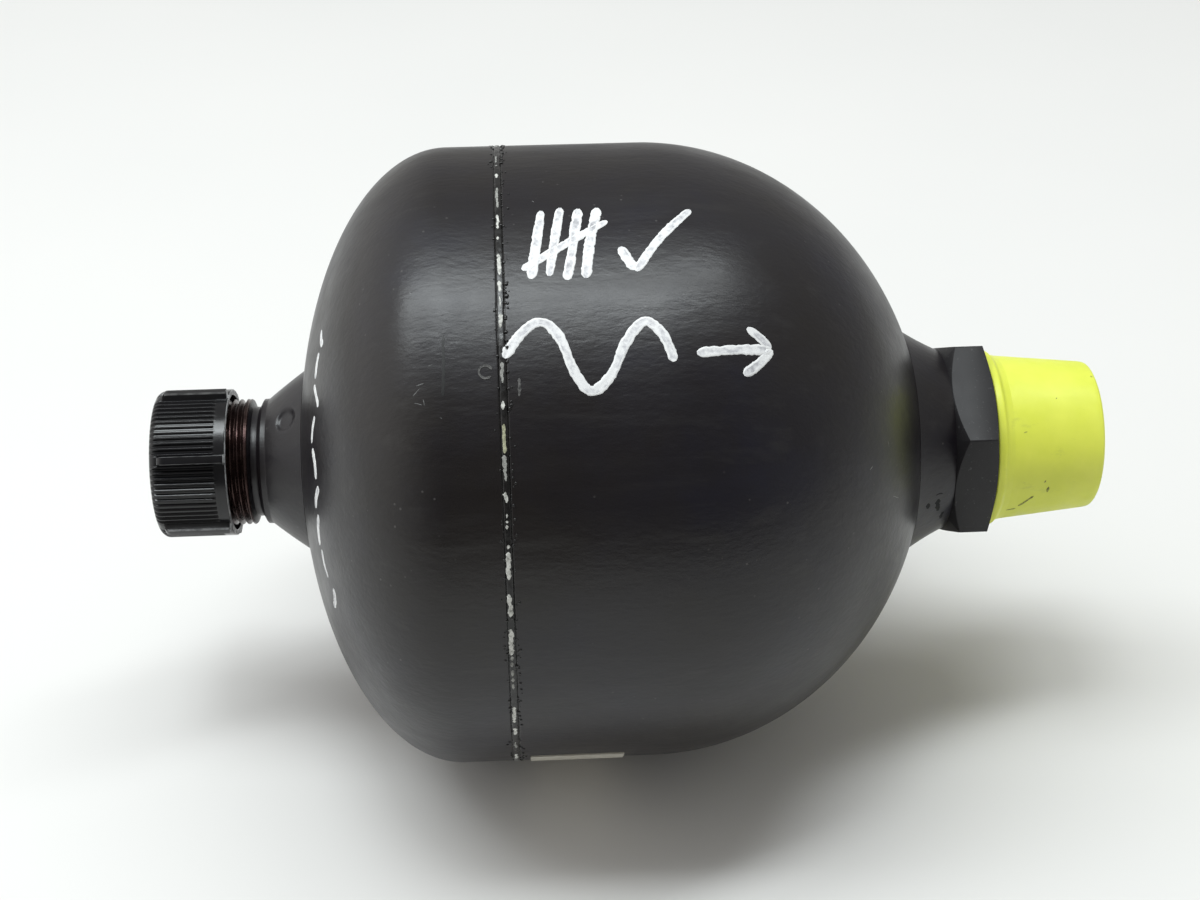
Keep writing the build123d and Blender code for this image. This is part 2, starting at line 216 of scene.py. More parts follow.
# Materials
class Paint:
    """A node material built up around one Principled shader."""

    def __init__(self, name, colour, roughness, **settings):
        self.material = bpy.data.materials.new(name)
        self.material.use_nodes = True
        self.tree = self.material.node_tree
        self.shader = self.tree.nodes["Principled BSDF"]
        self.shader.inputs["Base Color"].default_value = (*colour, 1)
        self.shader.inputs["Roughness"].default_value = roughness
        for socket, value in settings.items():
            self.shader.inputs[socket.replace("_", " ")].default_value = value
        self.place = self.node("ShaderNodeTexCoord").outputs["Object"]

    def node(self, kind, **settings):
        made = self.tree.nodes.new(kind)
        for key, value in settings.items():
            setattr(made, key, value)
        return made

    def link(self, source, target):
        self.tree.links.new(source, target)

    def stretched(self, scale, turn=(0, 0, 0)):
        made = self.node("ShaderNodeMapping")
        made.inputs["Scale"].default_value = scale
        made.inputs["Rotation"].default_value = turn
        self.link(self.place, made.inputs["Vector"])
        return made.outputs["Vector"]

    def noise(self, scale, detail=4.0, roughness=0.55, stretch=None):
        made = self.node("ShaderNodeTexNoise")
        made.inputs["Scale"].default_value = scale
        made.inputs["Detail"].default_value = detail
        made.inputs["Roughness"].default_value = roughness
        self.link(self.stretched(stretch) if stretch else self.place, made.inputs["Vector"])
        return made.outputs["Fac"]

    def cells(self, scale, stretch=None, feature="F1"):
        made = self.node("ShaderNodeTexVoronoi", feature=feature)
        made.inputs["Scale"].default_value = scale
        self.link(self.stretched(stretch) if stretch else self.place, made.inputs["Vector"])
        return made.outputs["Distance"]

    def ramp(self, value, stops):
        made = self.node("ShaderNodeValToRGB")
        elements = made.color_ramp.elements
        while len(elements) < len(stops):
            elements.new(0.5)
        for element, (position, grey) in zip(elements, stops):
            element.position = position
            colour = grey if isinstance(grey, tuple) else (grey, grey, grey)
            element.color = (*colour, 1)
        self.link(value, made.inputs["Fac"])
        return made.outputs["Color"]

    def mix(self, share, first, second, blend="MIX"):
        made = self.node("ShaderNodeMix", data_type="RGBA", blend_type=blend)
        for socket, value in (("Factor", share), ("A", first), ("B", second)):
            slots = [s for s in made.inputs if s.name == socket and s.enabled]
            target = slots[0]
            if isinstance(value, (int, float)):
                target.default_value = value
            elif isinstance(value, tuple):
                target.default_value = (*value, 1)
            else:
                self.link(value, target)
        return [s for s in made.outputs if s.enabled][0]

    def sums(self, operation, first, second):
        made = self.node("ShaderNodeMath", operation=operation)
        for socket, value in zip(made.inputs, (first, second)):
            if isinstance(value, (int, float)):
                socket.default_value = value
            else:
                self.link(value, socket)
        return made.outputs["Value"]

    def colour(self, source):
        self.link(source, self.shader.inputs["Base Color"])

    def rough(self, source):
        self.link(source, self.shader.inputs["Roughness"])

    def bump(self, height, depth, strength=1.0):
        made = self.node("ShaderNodeBump")
        made.inputs["Strength"].default_value = strength
        made.inputs["Distance"].default_value = depth * MM
        previous = self.shader.inputs["Normal"].links
        if previous:
            self.link(previous[0].from_socket, made.inputs["Normal"])
        self.link(height, made.inputs["Height"])
        self.link(made.outputs["Normal"], self.shader.inputs["Normal"])


def vessel_paint():
    paint = Paint("vessel_paint", (0.0085, 0.0065, 0.0080), 0.40, IOR=1.50)
    patches = paint.noise(26, 5, 0.6)
    tint = paint.ramp(patches, [(0.35, (0.0064, 0.0042, 0.0038)), (0.56, (0.0056, 0.0042, 0.0070)),
                                (0.75, (0.0045, 0.0040, 0.0125))])
    smears = paint.noise(240, 4, 0.65, stretch=(0.10, 1, 1))
    tint = paint.mix(paint.ramp(smears, [(0.56, 0), (0.80, 0.40)]), tint, (0.030, 0.028, 0.027))
    specks = paint.cells(330)
    some = paint.ramp(paint.noise(55, 2, 0.5), [(0.52, 0), (0.60, 1)])
    shown = paint.mix(1.0, paint.ramp(specks, [(0.05, 0.6), (0.10, 0)]), some, "MULTIPLY")
    tint = paint.mix(shown, tint, (0.085, 0.080, 0.078))
    scrapes = paint.noise(120, 8, 0.75, stretch=(1, 0.35, 0.35))
    tint = paint.mix(paint.ramp(scrapes, [(0.70, 0), (0.78, 0.45)]), tint, (0.040, 0.038, 0.036))
    paint.colour(tint)
    cloud = paint.noise(40, 5, 0.65)
    streak = paint.noise(150, 4, 0.6, stretch=(0.12, 1, 1))
    rough = paint.sums("ADD", paint.ramp(cloud, [(0.3, 0.245), (0.7, 0.325)]),
                       paint.ramp(streak, [(0.3, 0.04), (0.75, 0.12)]))
    paint.rough(rough)
    paint.bump(paint.noise(1000, 3, 0.55, stretch=(0.45, 1, 1)), 0.060, 0.85)
    paint.bump(paint.noise(330, 3, 0.55, stretch=(0.4, 1, 1)), 0.085, 0.8)
    paint.bump(paint.noise(60, 3, 0.5), 0.12, 0.5)
    return paint.material


def machined_paint():
    paint = Paint("machined_paint", (0.0085, 0.0072, 0.0085), 0.5, IOR=1.46)
    patches = paint.noise(180, 5, 0.65)
    tint = paint.ramp(patches, [(0.35, (0.0070, 0.0056, 0.0065)), (0.70, (0.0120, 0.0110, 0.0125))])
    flecks = paint.noise(1100, 3, 0.7)
    tint = paint.mix(paint.ramp(flecks, [(0.62, 0), (0.72, 0.8)]), tint, (0.060, 0.058, 0.060))
    paint.colour(tint)
    paint.rough(paint.ramp(paint.noise(90, 4, 0.6), [(0.3, 0.46), (0.7, 0.58)]))
    paint.bump(paint.noise(700, 3, 0.5), 0.02, 0.5)
    return paint.material


def weld_metal():
    paint = Paint("weld_metal", (0.005, 0.0045, 0.0045), 0.30)
    patches = paint.noise(600, 4, 0.6)
    paint.colour(paint.ramp(patches, [(0.45, (0.0035, 0.003, 0.003)), (0.80, (0.020, 0.018, 0.017))]))
    paint.rough(paint.ramp(paint.noise(900, 3, 0.6), [(0.3, 0.20), (0.7, 0.42)]))
    paint.bump(paint.noise(1200, 3, 0.5), 0.04, 0.6)
    return paint.material


def bare_steel(name, colour, roughness, turned=True):
    paint = Paint(name, colour, roughness, Metallic=0.9)
    dark = tuple(0.6 * c for c in colour)
    paint.colour(paint.ramp(paint.noise(180, 4, 0.6), [(0.35, dark), (0.7, colour)]))
    paint.rough(paint.ramp(paint.noise(400, 3, 0.6), [(0.3, roughness - 0.08), (0.7, roughness + 0.12)]))
    if turned:
        paint.bump(paint.noise(3000, 2, 0.5, stretch=(1, 0.02, 0.02)), 0.02, 0.4)
    paint.bump(paint.noise(900, 3, 0.5), 0.02, 0.3)
    return paint.material


def thread_steel():
    paint = Paint("thread_steel", (0.06, 0.04, 0.036), 0.26, Metallic=0.85)
    brown = paint.ramp(paint.noise(300, 3, 0.5), [(0.35, (0.030, 0.016, 0.015)), (0.7, (0.070, 0.043, 0.038))])
    paint.colour(brown)
    paint.rough(paint.ramp(paint.noise(700, 3, 0.6), [(0.3, 0.20), (0.7, 0.34)]))
    paint.bump(paint.noise(900, 2, 0.5), 0.008, 0.4)
    return paint.material


def rubber(name, colour=(0.016, 0.016, 0.016)):
    paint = Paint(name, colour, 0.75)
    light = tuple(1.9 * c for c in colour)
    paint.colour(paint.ramp(paint.noise(220, 4, 0.6), [(0.35, colour), (0.75, light)]))
    paint.rough(paint.ramp(paint.noise(500, 3, 0.6), [(0.3, 0.62), (0.7, 0.85)]))
    paint.bump(paint.noise(2200, 2, 0.5), 0.03, 0.6)
    return paint.material


def black_plastic():
    paint = Paint("black_plastic", (0.005, 0.0047, 0.0055), 0.20, IOR=1.50)
    scuffs = paint.noise(420, 5, 0.7, stretch=(0.35, 1, 1))
    tint = paint.ramp(paint.noise(120, 4, 0.6), [(0.35, (0.0036, 0.0033, 0.0040)), (0.75, (0.0065, 0.0062, 0.0080))])
    tint = paint.mix(paint.ramp(scuffs, [(0.70, 0), (0.80, 0.25)]), tint, (0.04, 0.04, 0.04))
    paint.colour(tint)
    paint.rough(paint.ramp(paint.noise(500, 3, 0.6), [(0.3, 0.16), (0.7, 0.24)]))
    paint.bump(paint.noise(500, 2, 0.5), 0.004, 0.4)
    return paint.material


# A grey plastic at a given level. It carries the painted reflection on the grip cap's rim and the painted highlight on
# its ridge edges, and also serves for fine scratches.
def pale_plastic(name, level):
    paint = Paint(name, (0.3 * level, 0.3 * level, 0.29 * level), 0.45)
    greys = [(0.35, 0.12 * level), (0.52, 0.34 * level), (0.75, 0.50 * level)]
    paint.colour(paint.ramp(paint.noise(600, 4, 0.65), greys))
    paint.rough(paint.ramp(paint.noise(500, 3, 0.6), [(0.3, 0.35), (0.7, 0.55)]))
    return paint.material


def yellow_plastic():
    paint = Paint("yellow_plastic", (0.80, 0.86, 0.09), 0.42, Subsurface_Weight=0.25, Subsurface_Scale=0.002)
    paint.shader.inputs["Subsurface Radius"].default_value = (1.0, 1.0, 0.25)
    cloud = paint.ramp(paint.noise(60, 4, 0.6), [(0.3, (0.72, 0.78, 0.07)), (0.7, (0.84, 0.89, 0.12))])
    grime = paint.noise(240, 6, 0.7, stretch=(0.5, 1, 1))
    tint = paint.mix(paint.ramp(grime, [(0.60, 0), (0.80, 0.55)]), cloud, (0.42, 0.45, 0.10))
    dots = paint.cells(90)
    tint = paint.mix(paint.ramp(dots, [(0.030, 0.6), (0.045, 0)]), tint, (0.10, 0.11, 0.05))
    paint.colour(tint)
    paint.rough(paint.ramp(paint.noise(300, 4, 0.6), [(0.3, 0.34), (0.7, 0.52)]))
    paint.bump(paint.noise(700, 3, 0.5), 0.03, 0.5)
    return paint.material


def pen_paint():
    paint = Paint("pen_paint", (0.80, 0.80, 0.79), 0.5)
    drag = paint.noise(900, 4, 0.7)
    paint.colour(paint.ramp(drag, [(0.28, (0.55, 0.55, 0.56)), (0.42, (0.76, 0.76, 0.76)), (0.7, (0.86, 0.86, 0.85))]))
    paint.bump(paint.noise(1400, 3, 0.5), 0.03, 0.5)
    return paint.material


def thin_pen_paint():
    paint = Paint("thin_pen_paint", (0.45, 0.45, 0.45), 0.5)
    drag = paint.noise(420, 4, 0.65)
    paint.colour(paint.ramp(drag, [(0.32, (0.36, 0.36, 0.38)), (0.44, (0.58, 0.58, 0.60)), (0.55, (0.80, 0.80, 0.80))]))
    paint.bump(paint.noise(1400, 3, 0.5), 0.03, 0.5)
    return paint.material


def dull_rub():
    paint = Paint("dull_rub", (0.005, 0.004, 0.005), 0.55)
    paint.colour(paint.ramp(paint.noise(900, 4, 0.65), [(0.35, 0.003), (0.7, 0.009)]))
    paint.rough(paint.ramp(paint.noise(500, 3, 0.6), [(0.3, 0.42), (0.7, 0.60)]))
    return paint.material


def dark_grease():
    paint = Paint("dark_grease", (0.003, 0.0025, 0.003), 0.40, IOR=1.22)
    paint.colour(paint.ramp(paint.noise(1200, 4, 0.65), [(0.35, 0.002), (0.7, 0.006)]))
    paint.bump(paint.noise(900, 3, 0.6), 0.02, 0.5)
    return paint.material


def dried_drop():
    paint = Paint("dried_drop", (0.03, 0.029, 0.028), 0.6)
    paint.colour(paint.ramp(paint.noise(1800, 3, 0.6), [(0.35, (0.016, 0.016, 0.016)), (0.7, (0.15, 0.145, 0.14))]))
    paint.bump(paint.noise(2500, 3, 0.6), 0.03, 0.6)
    return paint.material


def seam_dust():
    paint = Paint("seam_dust", (0.42, 0.42, 0.24), 0.85)
    paint.colour(paint.ramp(paint.noise(1500, 4, 0.7), [(0.3, (0.15, 0.15, 0.09)), (0.6, (0.45, 0.45, 0.31))]))
    paint.bump(paint.noise(2500, 3, 0.6), 0.05, 0.8)
    return paint.material


def grime():
    paint = Paint("grime", (0.10, 0.10, 0.03), 0.7)
    paint.colour(paint.ramp(paint.noise(900, 5, 0.7), [(0.38, (0.05, 0.05, 0.02)), (0.62, (0.50, 0.54, 0.08))]))
    paint.bump(paint.noise(2500, 3, 0.6), 0.02, 0.5)
    return paint.material


def chalk(name, level):
    paint = Paint(name, (0.62 * level, 0.62 * level, 0.58 * level), 0.85)
    greys = [(0.3, (0.22 * level, 0.22 * level, 0.20 * level)), (0.55, (0.66 * level, 0.66 * level, 0.62 * level))]
    paint.colour(paint.ramp(paint.noise(1300, 4, 0.7), greys))
    paint.bump(paint.noise(2500, 3, 0.6), 0.05, 0.8)
    return paint.material


def label_metal():
    paint = Paint("label_metal", (0.62, 0.58, 0.50), 0.4, Metallic=0.35)
    paint.colour(paint.ramp(paint.noise(300, 4, 0.6), [(0.3, (0.52, 0.49, 0.42)), (0.7, (0.68, 0.65, 0.57))]))
    paint.rough(paint.ramp(paint.noise(800, 3, 0.6), [(0.3, 0.32), (0.7, 0.5)]))
    return paint.material


painted = vessel_paint()
machined = machined_paint()
welded = weld_metal()
browned = thread_steel()
inner = bare_steel("inner_steel", (0.28, 0.26, 0.24), 0.42)
bright = bare_steel("button_steel", (0.50, 0.49, 0.47), 0.32)
screwed = bare_steel("screw_steel", (0.20, 0.20, 0.21), 0.36)
skin = rubber("diaphragm_rubber")
seal = rubber("seal_rubber", (0.022, 0.022, 0.023))
plastic = black_plastic()
# Pale grey on the grip cap's rim and the ends of its ridges: a painted reflection.
rim_reflection = pale_plastic("pale_plastic", 1.5)
# Grey for fine scratches, and a painted highlight along the grip cap's ridge edges.
scratch_and_edge_highlight = pale_plastic("scratch_and_edge_highlight_plastic", 0.45)
yellow = yellow_plastic()
pen = pen_paint()
thin_pen = thin_pen_paint()
chalked = chalk("seam_chalk", 1.0)
dulled_chalk = chalk("dull_chalk", 0.5)
pollen = seam_dust()
dried = dried_drop()
dulled = dull_rub()
smudge = grime()
greased = dark_grease()
plate_metal = label_metal()


def dress(name, material):
    """Gives a CAD node its material."""
    mesh = nodes[name].data
    mesh.materials.clear()
    mesh.materials.append(material)


for name, material in (
    ("backing_ring", inner), ("clamp_ring", inner), ("neck_boss_weld", welded), ("port_boss_weld", welded),
    ("closing_button", bright), ("charging_screw", screwed), ("charging_screw_ring", seal), ("cap_gasket", seal),
    ("neck_boss", painted), ("port_boss", painted), ("valve_cap", plastic), ("port_cap", yellow),
    ("gas_shell", painted), ("fluid_shell", painted), ("seam_weld", welded), ("diaphragm", skin),
):
    dress(name, material)


# Vessel halves
def shell_section(base, side, depth, hole):
    """One half's closed outline, from the seam along the outside to the hole and back inside."""
    face = seam_x + side * 1.7
    root = seam_x + side * 0.8
    outer_start = 90.0
    outer_end = math.degrees(math.asin(hole / vessel_radius))
    inner_end = math.degrees(math.asin(hole / inner_radius))
    points = [(face, vessel_radius)]
    belt = abs(base - face)
    points += [(face + side * belt * k / 6, vessel_radius) for k in range(1, 6)]
    outer = arc((0, 0), (depth, vessel_radius), outer_start, outer_end, 72)
    points += [(base + side * x, r) for x, r in outer]
    inside = arc((0, 0), (depth - 6.0, inner_radius), inner_end, outer_start, 40)
    points += [(base + side * x, r) for x, r in inside]
    points += [(root, inner_radius)]
    return points


for name, base, side, depth, hole in (
    ("gas_shell", gas_base, -1, gas_depth, 12.0), ("fluid_shell", fluid_base, 1, fluid_depth, 16.0),
):
    section = shell_section(base, side, depth, hole)
    mesh = ring_mesh(name + "_skin", even_angles(288), lambda a: section)
    place(name + "_skin", mesh, painted, "vessel", (name,))


# Girth weld: a low bead with ripples between two thin edge lines, flush with the shells beside it
def bead_height(offset, angle):
    """Height of the weld over the vessel's surface, at an offset from the seam."""
    around = Vector((math.cos(angle), math.sin(angle), 0)) * vessel_radius
    wander = 0.10 * noise.noise(around * 0.12)
    d = offset - wander
    lumps = noise.noise(Vector((around.x * 0.9, around.y * 0.9, d * 0.9)))
    ripple = noise.noise(Vector((around.x * 0.35, around.y * 0.35, 7.0)))
    crown = max(0.0, 1 - (d / 0.62) ** 2)
    edge = math.exp(-((abs(d) - 0.74) / 0.14) ** 2)
    flush = max(0.0, min(1.0, (1.55 - abs(offset)) / 0.25))
    return flush * (crown * (0.06 + 0.10 * lumps + 0.08 * ripple) - 0.20 * edge)


def bead_section(angle):
    offsets = [-1.7, -1.5, -1.36, -1.2, -1.04, -0.92, -0.83, -0.74, -0.65, -0.52, -0.36, -0.18, 0.0]
    offsets += [-d for d in reversed(offsets[:-1])]
    top = [(seam_x + d, vessel_radius + bead_height(d, angle)) for d in offsets]
    return top + [(seam_x + 0.8, inner_radius), (seam_x - 0.8, inner_radius)]


mesh = ring_mesh("seam_bead", even_angles(860), bead_section)
bead = place("seam_bead", mesh, welded, "vessel", ("seam_weld",))
mesh.materials.append(painted)
for face in mesh.polygons:
    if abs(face.center[0] / MM - seam_x) > 0.88:
        face.material_index = 1


def surface(x, angle):
    """Outside radius of the dressed vessel, weld included."""
    offset = x - seam_x
    if abs(offset) < 1.6:
        return vessel_radius + bead_height(offset, angle)
    return vessel_profile(x)


def surface_point(x, angle, lift=0.0):
    """Point on the vessel, lifted along the surface's own direction."""
    slope = (vessel_profile(x + 0.05) - vessel_profile(x - 0.05)) / 0.1
    r = surface(x, angle) + lift / math.hypot(1, slope)
    x = x - lift * slope / math.hypot(1, slope)
    return Vector((x, r * math.cos(angle), r * math.sin(angle)))


def drop_on_vessel(p):
    """Nearest point of the dressed vessel to a point near it, and the direction out of it there."""
    radius = math.hypot(p.y, p.z)
    if gas_base <= p.x <= fluid_base:
        out = Vector((0, p.y, p.z)) / radius
        return Vector((p.x, 0, 0)) + out * surface(p.x, math.atan2(p.z, p.y)), out
    base, depth = (gas_base, gas_depth) if p.x < gas_base else (fluid_base, fluid_depth)
    d = p - Vector((base, 0, 0))
    d = d / math.sqrt((d.x / depth) ** 2 + (radius / vessel_radius) ** 2)
    out = Vector((d.x / depth**2, d.y / vessel_radius**2, d.z / vessel_radius**2)).normalized()
    return Vector((base, 0, 0)) + d, out


def smooth_path(points, spacing):
    """Points of a Catmull-Rom curve through the given ones, about evenly spaced."""
    padded = [2 * points[0] - points[1], *points, 2 * points[-1] - points[-2]]
    dense = []
    for k in range(1, len(padded) - 2):
        p0, p1, p2, p3 = padded[k - 1 : k + 3]
        for j in range(40):
            t = j / 40
            dense.append(
                0.5 * (2 * p1 + (p2 - p0) * t + (2 * p0 - 5 * p1 + 4 * p2 - p3) * t * t
                       + (3 * p1 - p0 - 3 * p2 + p3) * t * t * t)
            )
    dense.append(points[-1])
    out = [dense[0]]
    for p in dense[1:]:
        if (p - out[-1]).length >= spacing:
            out.append(p)
    if len(out) < 3:
        out = [points[0], (points[0] + points[-1]) / 2, points[-1]]
    return out


def stroke(points, width, thickness, ragged, drop, spacing=0.4):
    """Verts and faces of a brush stroke that lies on a surface along points in space."""
    path = [drop(p)[0] for p in smooth_path(points, spacing)]
    across = [-1.0, -0.88, -0.55, -0.2, 0.2, 0.55, 0.88, 1.0]
    lifts = [-0.5, 0.7, 1.0, 0.45, 0.45, 1.0, 0.7, -0.5]
    verts, faces = [], []
    count = len(path)
    seed = dice.uniform(0, 100)
    length = max(0.1, (count - 1) * spacing)
    for k, p in enumerate(path):
        out = drop(p)[1]
        ahead = (path[min(k + 1, count - 1)] - path[max(k - 1, 0)]).normalized()
        side = out.cross(ahead).normalized()
        from_end = min(k, count - 1 - k) * spacing
        end = min(1.0, math.sqrt(from_end / min(0.5 * width, 0.3 * length)))
        left = 1 + ragged * noise.noise(Vector((k * 0.7, seed, 0)))
        right = 1 + ragged * noise.noise(Vector((k * 0.7, seed, 9)))
        half = 0.5 * width * (0.3 + 0.7 * end) * (1 + 0.2 * noise.noise(Vector((k * 0.1, seed, 4))))
        for c, lift in zip(across, lifts):
            q, up = drop(p + side * c * half * (left if c < 0 else right))
            verts.append((q + up * thickness * lift) * MM)
        if k:
            row = (k - 1) * len(across)
            for c in range(len(across) - 1):
                a = row + c
                faces.append((a, a + 1, a + 1 + len(across), a + len(across)))
    return verts, faces


def strokes_piece(name, jobs, materials, body, drop=drop_on_vessel):
    """One piece made of several strokes. A second material goes along their middles."""
    verts, faces, middles = [], [], []
    for points, width, thickness, ragged in jobs:
        more_verts, more_faces = stroke(points, width, thickness, ragged, drop)
        base = len(verts)
        verts += more_verts
        faces += [tuple(base + i for i in face) for face in more_faces]
        middles += [2 <= k % 7 <= 4 for k in range(len(more_faces))]
    mesh = bpy.data.meshes.new(name)
    mesh.from_pydata(verts, [], faces)
    mesh.polygons.foreach_set("use_smooth", [True] * len(faces))
    for material in materials:
        mesh.materials.append(material)
    if len(materials) > 1:
        mesh.polygons.foreach_set("material_index", [int(m) for m in middles])
    mesh.update()
    if mesh.polygons[0].normal.dot(drop(Vector(verts[3]) / MM)[1]) < 0:
        mesh.flip_normals()
    return place(name, mesh, None, body)


# Plain marks in white paint pen: a counting gate, a tick, a wave and an arrow
pen_lines = [
    ([(541, 211), (536, 246), (531, 279)], 2.0), ([(560, 208), (554, 244), (549, 277)], 1.9),
    ([(578, 209), (573, 245), (567, 280)], 2.0), ([(597, 208), (590, 242), (586, 278)], 2.1),
    ([(522, 270), (562, 246), (607, 221)], 1.9),
    ([(620, 247), (627, 258), (636, 271)], 2.2), ([(636, 271), (660, 238), (690, 210)], 1.9),
    ([(504, 358), (521, 334), (541, 322), (560, 338), (574, 371), (592, 391), (612, 374), (626, 342),
      (645, 321), (664, 336), (675, 362)], 2.1),
    ([(697, 353), (732, 350), (771, 350)], 2.1), ([(747, 328), (760, 338), (772, 350)], 2.0),
    ([(772, 350), (759, 364), (744, 375)], 2.0),
]
jobs = [([on_surface(u, v) for u, v in line], width, 0.07, 0.22) for line, width in pen_lines]
strokes_piece("pen_marks", jobs, (pen, thin_pen), "vessel")

# Short dashes on the gas dome, each from a point, with its lean and length
dome_dashes = [(322, 338, 75, 5.0), (317, 366, 115, 5.5), (316, 396, 60, 6.5), (313, 430, 120, 6.0), (314, 464, 70, 6.5),
               (317, 498, 125, 6.0), (319, 530, 95, 7.0), (325, 564, 60, 6.0), (334, 598, 100, 6.0)]
jobs = []
for u, v, lean, length in dome_dashes:
    p, out = drop_on_vessel(on_surface(u, v))
    along = Vector((0, -p.z, p.y)).normalized()
    inward = out.cross(along).normalized()
    way = along * math.sin(math.radians(lean)) + inward * math.cos(math.radians(lean))
    bend = out.cross(way) * dice.uniform(-0.8, 0.8)
    jobs.append(([p - way * length / 2, p + bend, p + way * length / 2], dice.uniform(1.3, 1.9), 0.06, 0.3))
strokes_piece("pen_marks_dome", jobs, (pen, thin_pen), "vessel")

# Chalky remains in the seam: first and last row of the photograph, width, and share left
chalk_runs = [(149, 167, 0.55, 0.6), (174, 179, 0.7, 1.0), (188, 209, 0.6, 0.8), (215, 230, 0.6, 0.9), (237, 241, 0.6, 1.0),
              (254, 275, 0.8, 1.0), (281, 293, 0.8, 1.0), (296, 308, 0.3, 0.8), (314, 329, 0.8, 1.0), (362, 383, 0.7, 0.9),
              (401, 411, 0.8, 1.0), (455, 481, 0.9, 0.9), (492, 504, 1.0, 0.9), (514, 523, 0.7, 0.7), (525, 539, 0.8, 0.7),
              (545, 550, 0.8, 0.8), (552, 581, 1.1, 1.0), (594, 618, 1.1, 1.0), (629, 656, 1.1, 1.0), (656, 690, 0.8, 0.7),
              (707, 723, 0.9, 0.8), (728, 735, 0.9, 0.8), (742, 750, 0.7, 0.6)]


def seam_line(top, bottom):
    """Points down the seam between two rows of the photograph, a little on the gas side of its middle."""
    line = []
    for row in np.linspace(top, bottom, 4):
        share = (row - 150) / 597
        x, angle = on_vessel(495.5 + 21 * share + 1.2 * math.sin(math.pi * share), row)
        line.append(surface_point(seam_x - 0.12 + dice.uniform(-0.10, 0.10), angle))
    return line


dull_runs = (149, 188, 362, 455, 656, 742)
chalk_jobs, dull_jobs = [], []
for top, bottom, width, left in chalk_runs:
    kept = dull_jobs if top in dull_runs else chalk_jobs
    if left > 0.75 and bottom - top < 30:
        kept.append((seam_line(top, bottom), width * 0.85, 0.05, 0.9))
        continue
    row = top
    while row < bottom:
        step = dice.uniform(5, 9)
        end = min(bottom, row + step * 0.75)
        if dice.random() < left + 0.2:
            kept.append((seam_line(row, end), width * dice.uniform(0.5, 0.9), 0.05, 0.9))
        row += step

# The far side of the seam carries the same kind of remains
seen_start, seen_end = on_vessel(496, 160)[1], on_vessel(516, 745)[1]
far_angle, far_stop = seen_end + math.radians(6), seen_start - math.radians(6)
if far_stop < far_angle:
    far_stop += 2 * math.pi
while far_angle < far_stop:
    reach_over = math.radians(dice.uniform(1.5, 9.0))
    line = [surface_point(seam_x + dice.uniform(-0.2, 0.1), far_angle + reach_over * k / 4) for k in range(5)]
    kept = dull_jobs if dice.random() < 0.45 else chalk_jobs
    kept.append((line, dice.uniform(0.4, 0.95), 0.05, 0.9))
    far_angle += reach_over + math.radians(dice.uniform(1.5, 10.0))
strokes_piece("seam_chalk", chalk_jobs, (chalked,), "vessel")
strokes_piece("seam_chalk_dull", dull_jobs, (dulled_chalk,), "vessel")
strokes_piece("seam_pollen", [(seam_line(424, 454), 0.7, 0.05, 0.8)], (pollen,), "vessel")

# Ring left by a drop on the gas side, by the seam
spot, out = drop_on_vessel(on_surface(485.5, 372))
side = Vector((1, 0, 0))
up = out.cross(side)
ring = [spot + (side * math.cos(t) + up * math.sin(t)) * 1.25 for t in np.linspace(0.35, 2 * math.pi - 0.45, 25)]
strokes_piece("drop_mark", [(ring, 0.50, 0.13, 0.5)], (dried,), "vessel")


# Fine scratches and rubs on the gas side and the belt
scratches = [((416, 386), (425, 383)), ((413, 396), (420, 388)), ((414, 403), (422, 405)), ((423, 399), (425, 407)),
             ((409, 292), (411, 294)), ((440, 417), (442, 419)), ((532, 201), (534, 202)), ((428, 366), (434, 364)),
             ((870, 470), (873, 466)), ((893, 496), (899, 498)), ((888, 441), (889, 447))]
jobs = [([on_surface(u, v) for u, v in line], 0.14, 0.015, 0.9) for line in scratches]
strokes_piece("fine_scratches", jobs, (scratch_and_edge_highlight,), "vessel")
rub = [on_surface(u, v) for u, v in ((519, 378), (519.5, 388), (519, 398))]
strokes_piece("faint_rub", [(rub, 0.5, 0.012, 0.9)], (dried,), "vessel")
rub = [on_surface(u, v) for u, v in ((443, 336), (443.5, 365), (443, 398))]
strokes_piece("dark_rub", [(rub, 0.6, 0.010, 0.9)], (dulled,), "vessel")


# Spatter beside the seam
def beads(name, spots, material, body):
    """One piece made of flattened beads at (x, angle, radius)."""
    work = bmesh.new()
    for x, angle, radius in spots:
        made = bmesh.ops.create_icosphere(work, subdivisions=2, radius=1.0)
        out = Vector((0, math.cos(angle), math.sin(angle)))
        side = Vector((0, -math.sin(angle), math.cos(angle)))
        centre = surface_point(x, angle, 0.15 * radius)
        stretch = dice.uniform(0.8, 1.3)
        for vert in made["verts"]:
            c = vert.co.copy()
            vert.co = (centre + Vector((c.x * radius, 0, 0)) + side * c.y * radius * stretch + out * c.z * radius * 0.6) * MM
    mesh = bpy.data.meshes.new(name)
    work.to_mesh(mesh)
    work.free()
    mesh.polygons.foreach_set("use_smooth", [True] * len(mesh.polygons))
    return place(name, mesh, material, body)


spots = []
for _ in range(420):
    offset = dice.choice((1, 1, 1, -1)) * (0.82 + abs(dice.gauss(0, 0.50)))
    spots.append((seam_x + offset, dice.uniform(-math.pi, math.pi), dice.uniform(0.12, 0.32)))
drops = ((506, 284, 0.38), (506.5, 296, 0.42), (506, 303, 0.30), (505.5, 317, 0.30), (506, 332, 0.32), (507, 347, 0.30),
         (501.5, 163, 0.32), (501, 225, 0.26), (503, 243, 0.24), (504, 262, 0.26), (508, 372, 0.24), (512, 618, 0.3))
for u, v, radius in drops:
    x, angle = on_vessel(u, v)
    spots.append((x, angle, 1.2 * radius))
beads("seam_spatter", spots, welded, "vessel")

